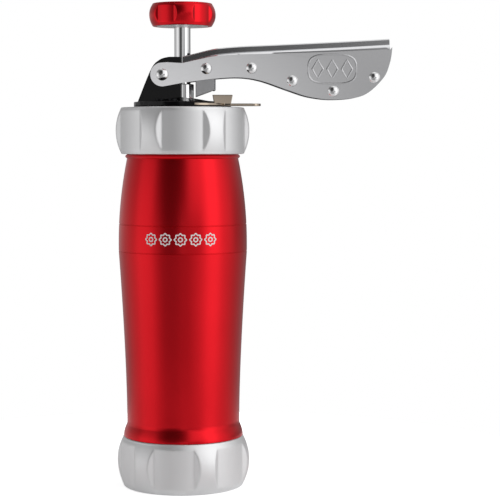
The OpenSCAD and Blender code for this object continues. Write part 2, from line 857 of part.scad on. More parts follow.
// Spring on the dog's pin, its leg hooked round the foot of the channel
module dog_spring() {
    r = dog_pin_r + 2 * wire_r + 0.05;
    x = dog_right + wire_r + face_gap;
    hook_z = dog_foot + 3.6 - wire_r - face_gap;
    color("silver") {
        translate([dog_x, 0, dog_z])
            close_coil(r, wire_r, dog_half - dog_t - 0.6);
        wire_leg([dog_x, dog_z + r], [x, dog_z + r], wire_r);
        wire_leg([x, dog_z + r], [x, hook_z], wire_r);
        wire_leg([x, hook_z], [x - 1.2, hook_z], wire_r);
    }
}

// Rod, piston and knob move together
module piston_rod() {
    color("white")
        difference() {
            translate([0, 0, rod_z])
                cylinder(r = rod_r, h = rod_top - rod_z);
            translate([0, 0, rod_z - 1])
                cylinder(r = piston_screw_r + run_fit, h = piston_screw_h + 1);
        }
}

module piston() {
    seat_r = rod_r + still_fit;
    land_z = piston_z + piston_h - 2.5;
    boss_top = piston_z + piston_h + piston_seat_h;
    color("ivory")
        difference() {
            spun([[0, piston_z], [piston_r, piston_z], [piston_r, piston_z + piston_h],
                [piston_r - 3, piston_z + piston_h], [piston_r - 3, land_z],
                [rod_r + piston_boss_w, land_z], [rod_r + piston_boss_w - 0.5, boss_top], [0, boss_top]]);
            translate([0, 0, rod_z])
                cylinder(r = seat_r, h = boss_top - rod_z + 1);
            translate([0, 0, piston_z - 1])
                cylinder(r = piston_screw_r + still_fit, h = rod_z - piston_z + 2);
            translate([0, 0, piston_z - 1])
                cylinder(r = washer_r + 0.4, h = washer_z - piston_z + washer_t + 1);
            translate([0, 0, seal_z])
                tube(piston_r + 2, piston_r - 2 * seal_r - face_gap + 0.3, 2 * seal_r + 2 * face_gap);
        }
}

module piston_seal() {
    color("#303030")
        translate([0, 0, seal_z + seal_r + face_gap])
            rotate_extrude()
                translate([bore_r - 0.1 - seal_r, 0])
                    circle(r = seal_r, $fn = 32);
}

module piston_washer() {
    color("silver")
        translate([0, 0, washer_z])
            tube(washer_r, piston_screw_r + 0.2, washer_t - eps);
}

module piston_screw() {
    color("gray")
        translate([0, 0, washer_z - eps])
            pan_screw(piston_screw_r, piston_screw_h);
}

module knob() {
    color("firebrick")
        translate([0, 0, knob_z])
            difference() {
                bulged(knob_r, knob_arc_r, knob_h, 0.5, knob_turn, knob_r - knob_facet_d,
                    knob_facets, knob_facet_half);
                translate([0, 0, -1])
                    cylinder(r = knob_plate_r + still_fit, h = knob_plate_t + 1 + face_gap);
                translate([0, 0, -1])
                    cylinder(r = rod_r + still_fit, h = rod_top - knob_z + 1 + face_gap);
            }
}

module knob_plate() {
    color("silver")
        translate([0, 0, knob_z])
            tube(knob_plate_r, rod_r + still_fit, knob_plate_t);
}

barrel();
lower_nut();
upper_nut();
biscuit_disc();
head_base();
head_tower();
tower_screws();
guide_bush();
brake_plate();
brake_spring();
brake_cover();
cover_screws();
regulator();
lever_shell();
lever_rivets();
lever_spacers();
pivot_pin();
return_spring();
dog_pin();
drive_dog();
grip_plate();
dog_spring();
piston_rod();
piston();
piston_seal();
piston_washer();
piston_screw();
knob();
knob_plate();
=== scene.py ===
import math
import bpy
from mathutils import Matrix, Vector


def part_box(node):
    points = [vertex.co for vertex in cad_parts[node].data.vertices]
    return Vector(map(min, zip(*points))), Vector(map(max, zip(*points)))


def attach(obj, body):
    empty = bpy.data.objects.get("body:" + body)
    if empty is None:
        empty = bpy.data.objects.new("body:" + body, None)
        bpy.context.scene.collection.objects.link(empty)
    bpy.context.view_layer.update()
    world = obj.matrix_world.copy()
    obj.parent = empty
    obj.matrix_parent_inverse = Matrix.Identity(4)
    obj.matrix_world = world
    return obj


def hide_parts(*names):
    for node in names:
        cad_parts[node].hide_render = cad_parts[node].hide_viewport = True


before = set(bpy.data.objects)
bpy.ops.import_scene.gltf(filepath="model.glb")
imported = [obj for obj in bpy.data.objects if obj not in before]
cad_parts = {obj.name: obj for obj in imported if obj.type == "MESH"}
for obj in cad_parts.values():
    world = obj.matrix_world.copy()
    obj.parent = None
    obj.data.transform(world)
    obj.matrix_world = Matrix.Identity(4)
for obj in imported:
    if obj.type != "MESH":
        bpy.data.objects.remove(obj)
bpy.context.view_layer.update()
mm = 0.001
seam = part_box("upper_nut")[0][2] / mm  # the head's heights are counted from the upper nut's foot
mergeGap = 0.002 * mm  # points closer than this are one point
print("frame loaded", len(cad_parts), "nodes")


# Small helpers

def clearSelection():
    if bpy.context.object and bpy.context.object.mode == "EDIT":
        bpy.ops.object.mode_set(mode="OBJECT")
    bpy.ops.object.select_all(action="DESELECT")


def pickOnly(piece):
    clearSelection()
    piece.select_set(True)
    bpy.context.view_layer.objects.active = piece


def applyAll(piece):
    pickOnly(piece)
    for mod in list(piece.modifiers):
        bpy.ops.object.modifier_apply(modifier=mod.name)


def addModifier(piece, kind, **settings):
    mod = piece.modifiers.new(kind.title(), kind)
    for key, value in settings.items():
        setattr(mod, key, value)
    return mod


def namedPiece(name):  # names the primitive just added
    piece = bpy.context.object
    piece.name = name
    piece.data.name = name
    return piece


def openMesh(kind, action="SELECT"):
    bpy.ops.object.mode_set(mode="EDIT")
    bpy.ops.mesh.select_mode(type=kind)
    bpy.ops.mesh.select_all(action=action)


def closeMesh():  # turns every face outwards and leaves edit mode
    bpy.ops.mesh.select_all(action="SELECT")
    bpy.ops.mesh.normals_make_consistent(inside=False)
    bpy.ops.object.mode_set(mode="OBJECT")


def bakePlace(piece):  # puts the object's place, turn and size into its mesh
    pickOnly(piece)
    bpy.ops.object.transform_apply(location=True, rotation=True, scale=True)


def smoothShade(piece, degrees=30):
    pickOnly(piece)
    bpy.ops.object.shade_smooth_by_angle(angle=math.radians(degrees))


def flattenBroadFaces(piece):  # broad faces keep their own direction, and only the rounded edges blend
    addModifier(piece, "WEIGHTED_NORMAL", keep_sharp=True, weight=100)
    applyAll(piece)


def softEdges(piece, width, segments, degrees):
    addModifier(piece, "BEVEL", width=width * mm, segments=segments, limit_method="ANGLE",
                angle_limit=math.radians(degrees), harden_normals=False, miter_outer="MITER_ARC")
    applyAll(piece)


def liftPiece(piece, height):
    piece.location.z = height * mm
    bakePlace(piece)


def finishEdges(piece, width, segments=2, degrees=40, smooth=30):
    softEdges(piece, width, segments, degrees)
    smoothShade(piece, smooth)
    flattenBroadFaces(piece)


def finishPiece(piece, body, material, slot=None, *nodes):
    piece.data.materials.clear()
    piece.data.materials.append(material)
    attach(piece, body)
    if nodes:
        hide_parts(*nodes)


def joinPieces(name, parts):
    clearSelection()
    for part in parts:
        part.select_set(True)
    bpy.context.view_layer.objects.active = parts[0]
    if len(parts) > 1:
        bpy.ops.object.join()
    joined = bpy.context.object
    joined.name = name
    joined.data.name = name
    return joined


def latheShape(name, outline, steps):  # outline: (radius, height) in mm, spun about Z
    clearSelection()
    bpy.ops.mesh.primitive_plane_add(size=mm)
    piece = namedPiece(name)
    openMesh("VERT")
    bpy.ops.mesh.merge(type="CENTER")
    r0, z0 = outline[0]
    bpy.ops.transform.translate(value=(r0 * mm, 0, z0 * mm))
    for (ra, za), (rb, zb) in zip(outline, outline[1:]):
        step = ((rb - ra) * mm, 0, (zb - za) * mm)
        bpy.ops.mesh.extrude_region_move(TRANSFORM_OT_translate={"value": step})
    bpy.ops.mesh.select_all(action="SELECT")
    bpy.ops.mesh.spin(steps=steps, angle=math.tau, center=(0, 0, 0), axis=(0, 0, 1))
    bpy.ops.mesh.select_all(action="SELECT")
    bpy.ops.mesh.remove_doubles(threshold=mergeGap)
    closeMesh()
    return piece


def pointLoop(name, points, fill="NGON"):  # a closed loop, filled or open, through points in mm
    clearSelection()
    bpy.ops.mesh.primitive_circle_add(vertices=len(points), radius=mm, fill_type=fill)
    piece = namedPiece(name)
    for vert, point in zip(piece.data.vertices, points):
        vert.co = Vector(point) * mm
    return piece


def plateShape(name, outline, thick, place):  # place(u, v, w) gives a point, with w from 0 to thick
    piece = pointLoop(name, [place(u, v, 0) for u, v in outline])
    shift = (Vector(place(0, 0, thick)) - Vector(place(0, 0, 0))) * mm
    openMesh("VERT")
    bpy.ops.mesh.extrude_region_move(TRANSFORM_OT_translate={"value": shift})
    closeMesh()
    return piece


def uprightPlace(y0):
    return lambda u, v, w: (u, y0 + w, v)


def flatPlace(z0):
    return lambda u, v, w: (u, v, z0 + w)


def cutWith(piece, cutter):
    mod = addModifier(piece, "BOOLEAN", operation="DIFFERENCE", solver="EXACT", object=cutter)
    pickOnly(piece)
    bpy.ops.object.modifier_apply(modifier=mod.name)
    bpy.data.objects.remove(cutter)


def roundBar(name, radius, start, end, steps):  # a round cutter between two points in mm
    clearSelection()
    a, b = Vector(start) * mm, Vector(end) * mm
    axis = b - a
    bpy.ops.mesh.primitive_cylinder_add(vertices=steps, radius=radius * mm, depth=axis.length,
                                        location=(a + b) / 2,
                                        rotation=axis.to_track_quat("Z", "Y").to_euler())
    piece = namedPiece(name)
    bakePlace(piece)
    return piece


def blockShape(name, low, high):  # a block between two corners in mm
    clearSelection()
    low, high = Vector(low) * mm, Vector(high) * mm
    bpy.ops.mesh.primitive_cube_add(size=1, location=(low + high) / 2)
    piece = namedPiece(name)
    piece.scale = high - low
    bakePlace(piece)
    return piece


def arcPoints(cx, cy, radius, start, end, count):
    angles = [math.radians(start + (end - start) * i / count) for i in range(count + 1)]
    return [(cx + radius * math.cos(a), cy + radius * math.sin(a)) for a in angles]


def bentCurve(knots, pieces):  # smooth curve through the knots, each span in so many pieces
    points = []
    last = len(knots) - 1
    for i in range(last):
        a, b = knots[max(i - 1, 0)], knots[i]
        c, d = knots[i + 1], knots[min(i + 2, last)]
        for j in range(pieces):
            t = j / pieces
            points.append(tuple(0.5 * (2 * q + (r - p) * t + (2 * p - 5 * q + 4 * r - s) * t * t
                                       + (3 * q - p - 3 * r + s) * t ** 3)
                                for p, q, r, s in zip(a, b, c, d)))
    return points + [knots[last]]


def heightOn(curve, x):  # height of a curve of (x, z) points at x
    for (xa, za), (xb, zb) in zip(curve, curve[1:]):
        if xa <= x <= xb:
            return za + (zb - za) * (x - xa) / (xb - xa)
    return curve[0][1] if x < curve[0][0] else curve[-1][1]


# Materials

def hexColor(code):
    parts = [int(code[i:i + 2], 16) / 255 for i in (1, 3, 5)]
    return [c / 12.92 if c <= 0.04045 else ((c + 0.055) / 1.055) ** 2.4 for c in parts] + [1.0]


def addNode(tree, kind, inputs=None, **settings):
    node = tree.nodes.new("ShaderNode" + kind)
    for key, value in settings.items():
        setattr(node, key, value)
    for key, value in (inputs or {}).items():
        if isinstance(value, bpy.types.NodeSocket):
            tree.links.new(value, node.inputs[key])
        else:
            node.inputs[key].default_value = value
    return node


def startMaterial(name, **shader):
    mat = bpy.data.materials.new(name)
    mat.use_nodes = True
    tree = mat.node_tree
    bsdf = tree.nodes["Principled BSDF"]
    for key, value in shader.items():
        bsdf.inputs[key.replace("_", " ")].default_value = value
    return mat, tree, bsdf


def setRamp(ramp, stops):
    elements = ramp.color_ramp.elements
    while len(elements) > 1:
        elements.remove(elements[-1])
    elements[0].position, elements[0].color = stops[0]
    for position, color in stops[1:]:
        elements.new(position).color = color


def grainedMaterial(name, look, **shader):  # two tints in soft patches, and a grain in gloss and relief
    mat, tree, bsdf = startMaterial(name, **shader)
    place = addNode(tree, "TexCoord").outputs["Object"]
    stretched = addNode(tree, "Mapping", {"Vector": place, "Scale": look.get("stretch", (1, 1, 1))})
    grain = addNode(tree, "TexNoise", {"Vector": stretched.outputs["Vector"],
                                       "Scale": 1 / (look["grainMm"] * mm)}).outputs["Fac"]
    patch = addNode(tree, "TexNoise", {"Vector": place, "Scale": 1 / (look["patchMm"] * mm)})
    bump = addNode(tree, "Bump", {"Height": grain, "Strength": look["bump"], "Distance": 0.02 * mm})
    rough = addNode(tree, "MapRange", {"Value": grain, "To Min": look["rough"][0],
                                       "To Max": look["rough"][1]})
    tint = addNode(tree, "Mix", {0: patch.outputs["Fac"], 6: hexColor(look["tints"][0]),
                                 7: hexColor(look["tints"][1])}, data_type="RGBA")
    tree.links.new(bump.outputs["Normal"], bsdf.inputs["Normal"])
    tree.links.new(rough.outputs["Result"], bsdf.inputs["Roughness"])
    tree.links.new(tint.outputs[2], bsdf.inputs["Base Color"])
    return mat


# tints run from darker to lighter, rough is the span of roughness, and grain and patches are sizes in mm
# the real blasting, grinding and drawing marks are finer than these, which are coarse enough to show

# bead-blasted and dyed: a satin, deep red metal under a thin clear oxide
redAnodised = {"tints": ("#cf0a18", "#dd0f1e"), "rough": (0.27, 0.33), "grainMm": 0.25, "patchMm": 28,
               "bump": 0.12}
redMetal = grainedMaterial("RedAnodisedAluminium", redAnodised, Metallic=1.0, Coat_Weight=0.2,
                           Coat_Roughness=0.25)

# turned, milled and satin anodised: pale grey with an even soft gloss and faint turning marks
satinAluminium = {"tints": ("#e6e6e7", "#efeff0"), "rough": (0.46, 0.56), "grainMm": 0.3, "patchMm": 20,
                  "bump": 0.16, "stretch": (1, 1, 0.12)}
paleMetal = grainedMaterial("SatinTurnedAluminium", satinAluminium, Metallic=1.0)

# chromed over pressed sheet: bright, with a fine polishing grain along the lever
chromedSheet = {"tints": ("#d9d9db", "#dfdfe1"), "rough": (0.11, 0.17), "grainMm": 0.4, "patchMm": 30,
                "bump": 0.06, "stretch": (0.1, 1, 1)}
leverChrome = grainedMaterial("ChromedPressedSteel", chromedSheet, Metallic=1.0)

# ground and polished stainless: a near mirror
groundSteel = {"tints": ("#dededf", "#e4e4e5"), "rough": (0.03, 0.06), "grainMm": 0.33, "patchMm": 15,
               "bump": 0.03, "stretch": (1, 1, 0.2)}
mirrorSteel = grainedMaterial("PolishedGroundSteel", groundSteel, Metallic=1.0)

# injection-moulded: black with a low gloss, and a faint unevenness where the plastic flowed
blackMoulding = {"tints": ("#040405", "#08080a"), "rough": (0.14, 0.22), "grainMm": 1.1, "patchMm": 9,
                 "bump": 0.08}
blackAbs = grainedMaterial("BlackMouldedAbs", blackMoulding, IOR=1.5, Specular_IOR_Level=0.2)

# stamped and tumbled: dull grey with softened marks
tumbledSteel = {"tints": ("#98989a", "#b0b0b2"), "rough": (0.16, 0.26), "grainMm": 0.5, "patchMm": 6,
                "bump": 0.1}
dogSteel = grainedMaterial("TumbledSteel", tumbledSteel, Metallic=1.0)

# drawn wire: grey and fairly smooth
drawnWire = {"tints": ("#909093", "#a8a8aa"), "rough": (0.2, 0.3), "grainMm": 0.4, "patchMm": 4,
             "bump": 0.1}
springSteel = grainedMaterial("DrawnSpringSteel", drawnWire, Metallic=1.0)

# nickel plate that has warmed in tone: brownish grey and satin
warmNickel = {"tints": ("#a3968a", "#b4a796"), "rough": (0.12, 0.2), "grainMm": 0.3, "patchMm": 8,
              "bump": 0.06}
nickelPlate = grainedMaterial("WarmNickelPlate", warmNickel, Metallic=1.0)

# oxide-blackened screws: near black with a weak gloss
oxideBlack = {"tints": ("#1d1d1f", "#2c2c2e"), "rough": (0.3, 0.45), "grainMm": 0.5, "patchMm": 5,
              "bump": 0.15}
blackSteel = grainedMaterial("BlackenedSteel", oxideBlack, Metallic=1.0)

# thin pressed sheet: pale and slightly dull
pressedAluminium = {"tints": ("#bcbcc0", "#c9c9cc"), "rough": (0.28, 0.4), "grainMm": 0.4, "patchMm": 12,
                    "bump": 0.15}
discMetal = grainedMaterial("PressedAluminium", pressedAluminium, Metallic=1.0)

# screen-printed ink: flat, off-white and matt
screenInk = {"tints": ("#eee8e8", "#f6f2f2"), "rough": (0.45, 0.55), "grainMm": 0.25, "patchMm": 5,
             "bump": 0.1}
inkWhite = grainedMaterial("PaleScreenInk", screenInk, IOR=1.5)

# moulded acetal: waxy off-white
mouldedAcetal = {"tints": ("#dad6cc", "#e6e3da"), "rough": (0.35, 0.5), "grainMm": 0.8, "patchMm": 10,
                 "bump": 0.12}
pistonPlastic = grainedMaterial("MouldedAcetal", mouldedAcetal, IOR=1.48)

# moulded rubber: black and matt
nitrileRubber = {"tints": ("#121212", "#1c1c1c"), "rough": (0.55, 0.7), "grainMm": 0.5, "patchMm": 8,
                 "bump": 0.3}
sealRubber = grainedMaterial("NitrileRubber", nitrileRubber, IOR=1.52)
print("materials made")


# Barrel

barrelSize = {"bore": 25.5, "thread": 27.3, "foot": 3.5, "head": seam + 17.8, "nutTop": 25.0, "gap": 0.1,
              "flareZ": 25.15, "flareOut": 1.7, "flareTall": 6.0, "waist": 28.0, "waistZ": 36.0,
              "belly": 31.8, "bellyZ": 117.0, "band": 4.0, "neck": 27.5, "neckTop": seam, "lipTall": 2.1,
              "lipOut": 0.9, "grooves": (117.3, 130.6), "grooveWide": 0.55, "grooveDeep": 0.22, "row": 1.5}


def barrelRadius(z):  # waist, swelling, belly and the taper to the neck
    b = barrelSize
    bandTop = b["bellyZ"] + b["band"]
    if z < b["waistZ"]:
        return b["waist"]
    if z < b["bellyZ"]:
        share = (z - b["waistZ"]) / (b["bellyZ"] - b["waistZ"])
        return b["waist"] + (b["belly"] - b["waist"]) * share ** 1.5
    if z < bandTop:
        return b["belly"]
    share = (z - bandTop) / (b["neckTop"] - b["lipTall"] - bandTop)
    return b["belly"] - (b["belly"] - b["neck"]) * share ** 2


def barrelOutline():
    b = barrelSize
    points = [(b["bore"], b["foot"]), (b["thread"], b["foot"]), (b["thread"], b["nutTop"] + b["gap"])]
    for i in range(13):  # flare above the lower nut
        a = i / 12
        points.append((b["waist"] + b["flareOut"] * math.cos(math.pi / 2 * a),
                       b["flareZ"] + b["flareTall"] * a))
    top = b["neckTop"] - b["lipTall"] - b["gap"]
    heights = [b["waistZ"] - 2 * b["row"] + i * b["row"] for i in range(200)]
    plain = [(z, 0) for z in heights if z < top - 0.5 and all(abs(z - g) > 1 for g in b["grooves"])]
    half, deep = b["grooveWide"] / 2, b["grooveDeep"]
    marks = [(g + share * half, 0 if abs(share) == 1 else deep)
             for g in b["grooves"] for share in (-1, -0.5, 0.5, 1)]
    points += [(barrelRadius(z) - d, z) for z, d in sorted(plain + marks)]
    for i in range(9):  # lip under the upper nut
        a = i / 8
        points.append((b["neck"] + b["lipOut"] * math.sin(math.pi * a), top + b["lipTall"] * a))
    points += [(b["thread"], b["neckTop"]), (b["thread"], b["head"]), (b["bore"], b["head"])]
    return points + points[:1]


barrelPiece = latheShape("barrelShell", barrelOutline(), 256)
smoothShade(barrelPiece, 25)
finishPiece(barrelPiece, "barrel", redMetal, "red_anodised", "barrel")
print("barrel spun")


# Ring nuts and knob

lowerNutSize = {"big": 33.0, "arc": 24.5, "tall": 25.0, "rim": 0.9, "floor": 30.9, "half": 18.5,
                "lean": 72.0, "turn": -9.0, "soft": 0.22, "count": 6, "thread": 27.4, "lip": 24.5,
                "lipThick": 2.0, "face": 29.0}
upperNutSize = dict(lowerNutSize, tall=22.9, turn=0.0, lip=24.35, lipThick=2.2)
knobSize = {"big": 16.45, "arc": 8.5, "tall": 11.2, "rim": 0.6, "floor": 15.3, "half": 17.0,
            "lean": 72.0, "turn": 40.0, "soft": 0.16, "count": 5, "bore": 4.02, "boreTop": 7.05,
            "plate": 12.8, "plateThick": 1.2, "plateSoft": 0.2, "plateGap": 0.02, "plateRoom": 0.1,
            "sink": (5.2, 4.6)}


def bulgeOutline(size, rows):  # outer curve of a bulged ring, from lower rim to upper rim
    half = size["tall"] / 2
    rim = size["rim"]
    lean = math.degrees(math.asin((half - rim) / size["arc"]))
    curve = [(size["big"] - size["arc"] + r, half + z)
             for r, z in arcPoints(0, 0, size["arc"], -lean, lean, rows)]
    edge = curve[0][0]
    turns = [math.pi / 2 * i / 5 for i in range(5)]
    low = [(edge - rim + rim * math.sin(a), rim - rim * math.cos(a)) for a in turns]
    high = [(r, size["tall"] - z) for r, z in reversed(low)]
    return low + curve + high


def cutFacets(piece, size):  # presses the finger facets into the bulged wall, with softened edges
    floor, half, lean = size["floor"], math.radians(size["half"]), math.radians(size["lean"])
    ax, ay = floor * math.cos(half), floor * math.sin(half)
    dx, dy = math.cos(lean), math.sin(lean)
    soft = size["soft"] * size["soft"]
    step = math.tau / size["count"]
    for vert in piece.data.vertices:
        radius = math.hypot(vert.co.x, vert.co.y) / mm
        if radius < floor - 3:  # the inside stays round
            continue
        angle = math.atan2(vert.co.y, vert.co.x) + math.pi / 2 - math.radians(size["turn"])
        angle = abs((angle + step / 2) % step - step / 2)
        cross = math.cos(angle) * dy - math.sin(angle) * dx
        ramp = (ax * dy - ay * dx) / cross if angle > 0.02 else floor - 2
        wall = 0.5 * (floor + ramp + math.sqrt((floor - ramp) ** 2 + soft))
        shaped = 0.5 * (radius + wall - math.sqrt((radius - wall) ** 2 + soft))
        if shaped < radius:
            vert.co.x *= shaped / radius
            vert.co.y *= shaped / radius
    piece.data.update()


def bulgedRing(name, size, inner):  # inner is the rest of its outline, from the upper rim inwards
    wall = bulgeOutline(size, 60)
    piece = latheShape(name, wall + inner + wall[:1], 480)
    cutFacets(piece, size)
    smoothShade(piece, 35)
    return piece


low, high = lowerNutSize, upperNutSize
lipTop, lipFoot = low["lipThick"], high["tall"] - high["lipThick"]
lowInner = [(low["thread"], low["tall"]), (low["thread"], lipTop), (low["lip"], lipTop), (low["lip"], 0.0),
            (low["face"], 0.0)]
highInner = [(high["lip"], high["tall"]), (high["lip"], lipFoot), (high["thread"], lipFoot),
             (high["thread"], 0.0), (high["face"], 0.0)]
lowerNutPiece = bulgedRing("lowerRingNut", low, lowInner)
finishPiece(lowerNutPiece, "lower_ring", paleMetal, "satin_aluminium", "lower_nut")
upperNutPiece = bulgedRing("upperRingNut", high, highInner)
liftPiece(upperNutPiece, seam)
finishPiece(upperNutPiece, "upper_ring", paleMetal, "satin_aluminium", "upper_nut")
print("nuts shaped")


def knobOutline():
    k = knobSize
    rim, roof = k["plate"] + k["plateGap"], k["plateThick"] + k["plateRoom"]
    return ([(0.0, k["tall"])] + list(reversed(bulgeOutline(k, 40)))
            + [(rim, 0.0), (rim, roof), (k["bore"], roof), (k["bore"], k["boreTop"]), (0.0, k["boreTop"])])


def knobPlateOutline():
    k = knobSize
    bore, rim, top, soft = k["bore"], k["plate"], k["plateThick"], k["plateSoft"]
    return [(bore, top), (rim - soft, top), (rim, top - soft), (rim, soft), (rim - soft, 0.0),
            (k["sink"][0], 0.0), (k["sink"][1], soft), (bore, soft), (bore, top)]


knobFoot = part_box("knob")[0][2] / mm
knobPiece = latheShape("knobCap", knobOutline(), 360)
cutFacets(knobPiece, knobSize)
smoothShade(knobPiece, 35)
liftPiece(knobPiece, knobFoot)
finishPiece(knobPiece, "plunger", redMetal, "red_anodised", "knob")
knobPlatePiece = latheShape("knobUnderPlate", knobPlateOutline(), 128)
smoothShade(knobPlatePiece, 30)
liftPiece(knobPlatePiece, knobFoot)
finishPiece(knobPlatePiece, "plunger", paleMetal, "disc_aluminium", "knob_plate")
print("knob made")


# Lever

leverSize = {"pivot": (-9.9, 38.85), "long": 112.9, "ear": 5.8, "earTop": (2.5, 5.95), "outer": 8.0,
             "sheet": 1.1, "shoulderIn": 0.35, "shoulderUp": 0.38, "ridgeHalf": 5.8, "ridgeTall": 3.0,
             "ridgeRound": 0.9, "ridgeLean": 0.5, "ridgeStart": 0.0, "ridgeEnd": 0.985,
             "slotEnd": 8.5, "slotHalf": 4.6}
# the lever's underside and the ridge's foot: share of its length, and rise above the pivot
underKnots = [(0.085, -4.1), (0.218, -2.1), (0.336, -1.4), (0.429, -3.0), (0.545, -7.5), (0.642, -10.9),
              (0.752, -12.1), (0.874, -10.1), (0.959, -1.9), (0.99, 6.0), (1.0, 13.5)]
footKnots = [(0.088, 5.9), (0.151, 7.7), (0.218, 9.5), (0.262, 10.2), (0.352, 11.0), (0.471, 11.6),
             (0.776, 13.3), (0.99, 14.7)]
shoulderKnots = [(0.0, 0.35), (20.0, 0.9), (57.0, 1.7), (102.0, 2.4)]  # x, and drop to the cheek


def leverCurve(knots):
    px, pz = leverSize["pivot"]
    return bentCurve([(px + share * leverSize["long"], pz + rise) for share, rise in knots], 8)


def ridgeRows(foot):  # rows of points from the shoulder over the ridge to its middle, along the lever
    s = leverSize
    half, lean, turn = s["ridgeHalf"], s["ridgeLean"], s["ridgeRound"]
    wall = s["ridgeTall"] - turn
    side = -s["outer"] + s["shoulderIn"] * (s["outer"] - half)
    rows = [[(x, side, z - s["shoulderUp"] * heightOn(shoulderKnots, x)) for x, z in foot],
            [(x, -half - 0.2, z) for x, z in foot],
            [(x, -half, z + 0.12) for x, z in foot]]
    for degrees in (0, 22, 45, 68, 90):
        a = math.radians(degrees)
        across, up = lean + turn * (1 - math.cos(a)), wall + turn * math.sin(a)
        rows.append([(x, -half + across, z + up) for x, z in foot])
    rows.append([(x, 0, z + s["ridgeTall"]) for x, z in foot])
    return rows


def extrudeRows(piece, chosen, rows):  # pulls a chain of edges out row by row
    for row in rows:
        for vert in piece.data.vertices:
            vert.select = vert.index in chosen
        for edge in piece.data.edges:
            a, b = edge.vertices
            edge.select = a in chosen and b in chosen and abs(a - b) < 3
        for face in piece.data.polygons:
            face.select = False
        bpy.ops.object.mode_set(mode="EDIT")
        bpy.ops.mesh.select_mode(type="EDGE")
        bpy.ops.mesh.extrude_edges_move(TRANSFORM_OT_translate={"value": (0, 0, 0)})
        bpy.ops.object.mode_set(mode="OBJECT")
        chosen = [v.index for v in piece.data.vertices if v.select]
        chosen.sort(key=lambda i: piece.data.vertices[i].co.x)
        for i, point in zip(chosen, row):
            piece.data.vertices[i].co = Vector(point) * mm


def leverHalf():  # one cheek as a flat sheet, its shoulder and half of the ridge
    s = leverSize
    px, pz = s["pivot"]
    foot = leverCurve(footKnots)
    foot[0] = (s["ridgeStart"], foot[0][1])
    shoulder = [(x, z - heightOn(shoulderKnots, x)) for x, z in foot]
    ear = arcPoints(px, pz, s["ear"], 279, 100, 28) + [(px + s["earTop"][0], pz + s["earTop"][1])]
    cheek = list(reversed(leverCurve(underKnots))) + ear
    piece = pointLoop("leverShell", [(x, -s["outer"], z) for x, z in cheek + shoulder])
    extrudeRows(piece, list(range(len(cheek), len(cheek + shoulder))), ridgeRows(foot))
    return piece


def closeLever(piece):  # opens the rod's slot, mirrors the half, closes the ridge's end, adds thickness
    s = leverSize
    pickOnly(piece)
    openMesh("FACE", "DESELECT")
    bpy.ops.object.mode_set(mode="OBJECT")
    for face in piece.data.polygons:
        face.select = face.center.x < s["slotEnd"] * mm and face.center.y > -s["slotHalf"] * mm
    bpy.ops.object.mode_set(mode="EDIT")
    bpy.ops.mesh.delete(type="FACE")
    bpy.ops.object.mode_set(mode="OBJECT")
    addModifier(piece, "MIRROR", use_axis=(False, True, False), use_clip=True,
                merge_threshold=mergeGap / 2)
    applyAll(piece)
    openMesh("EDGE", "DESELECT")
    bpy.ops.object.mode_set(mode="OBJECT")
    endX = s["pivot"][0] + s["ridgeEnd"] * s["long"]
    for edge in piece.data.edges:
        a, b = (piece.data.vertices[i].co for i in edge.vertices)
        level = abs(a.x - b.x) < mergeGap / 2 and min(abs(a.y), abs(b.y)) < (s["ridgeHalf"] + 0.05) * mm
        edge.select = level and min(a.x, b.x) > endX * mm
    bpy.ops.object.mode_set(mode="EDIT")
    bpy.ops.mesh.edge_face_add()
    bpy.ops.mesh.select_all(action="SELECT")
    bpy.ops.mesh.remove_doubles(threshold=mergeGap / 2)
    closeMesh()
    addModifier(piece, "SOLIDIFY", thickness=s["sheet"] * mm, offset=-1)
    applyAll(piece)
    finishEdges(piece, 0.3, 3, 50, 40)


leverPiece = leverHalf()
closeLever(leverPiece)
liftPiece(leverPiece, seam)
finishPiece(leverPiece, "lever", leverChrome, "chromed_sheet", "lever_shell")
print("lever pressed", len(leverPiece.data.polygons))

pinSize = {"dome": 1.3, "rivetHead": 2.75, "rivetShank": 1.5, "spots": (0.387, 0.564, 0.743, 0.922),
           "rise": (3.2, -3.0, -8.0, -1.3), "pivotHead": 3.0, "pivotShank": 2.0, "dogHead": 2.75,
           "dogShank": 1.8, "dogX": 11.6, "dogZ": 41.75}


def crossPin(name, x, z, shank, head):  # a pin across the lever, with a dome at each end
    half, tall = leverSize["outer"], pinSize["dome"]
    ball = (head * head + tall * tall) / (2 * tall)
    sweep = math.degrees(math.asin(head / ball))
    dome = [(0.0, tall)] + [(r, tall - ball + up) for up, r in arcPoints(0, 0, ball, 0, sweep, 14)[1:-1]]
    dome += [(head, 0.18), (head - 0.05, 0.02), (shank, 0.0)]
    outline = [(r, half + z1) for r, z1 in dome] + [(r, -half - z1) for r, z1 in reversed(dome)]
    piece = latheShape(name, outline, 48)
    piece.rotation_euler = (math.pi / 2, 0, 0)
    piece.location = (x * mm, 0, z * mm)
    bakePlace(piece)
    smoothShade(piece, 35)
    return piece


px, pz = leverSize["pivot"]
rivetParts = [crossPin("leverRivets", px + share * leverSize["long"], pz + rise, pinSize["rivetShank"],
                       pinSize["rivetHead"]) for share, rise in zip(pinSize["spots"], pinSize["rise"])]
rivetPiece = joinPieces("leverRivets", rivetParts)
liftPiece(rivetPiece, seam)
finishPiece(rivetPiece, "lever", mirrorSteel, "bright_steel", "lever_rivets")
pivotPiece = crossPin("pivotPin", px, pz, pinSize["pivotShank"], pinSize["pivotHead"])
liftPiece(pivotPiece, seam)
finishPiece(pivotPiece, "lever", mirrorSteel, "bright_steel", "pivot_pin")
dogPinPiece = crossPin("dogPin", pinSize["dogX"], pinSize["dogZ"], pinSize["dogShank"], pinSize["dogHead"])
liftPiece(dogPinPiece, seam)
finishPiece(dogPinPiece, "lever", mirrorSteel, "bright_steel", "dog_pin")


# Head: base, roof and tower, with heights from the seam

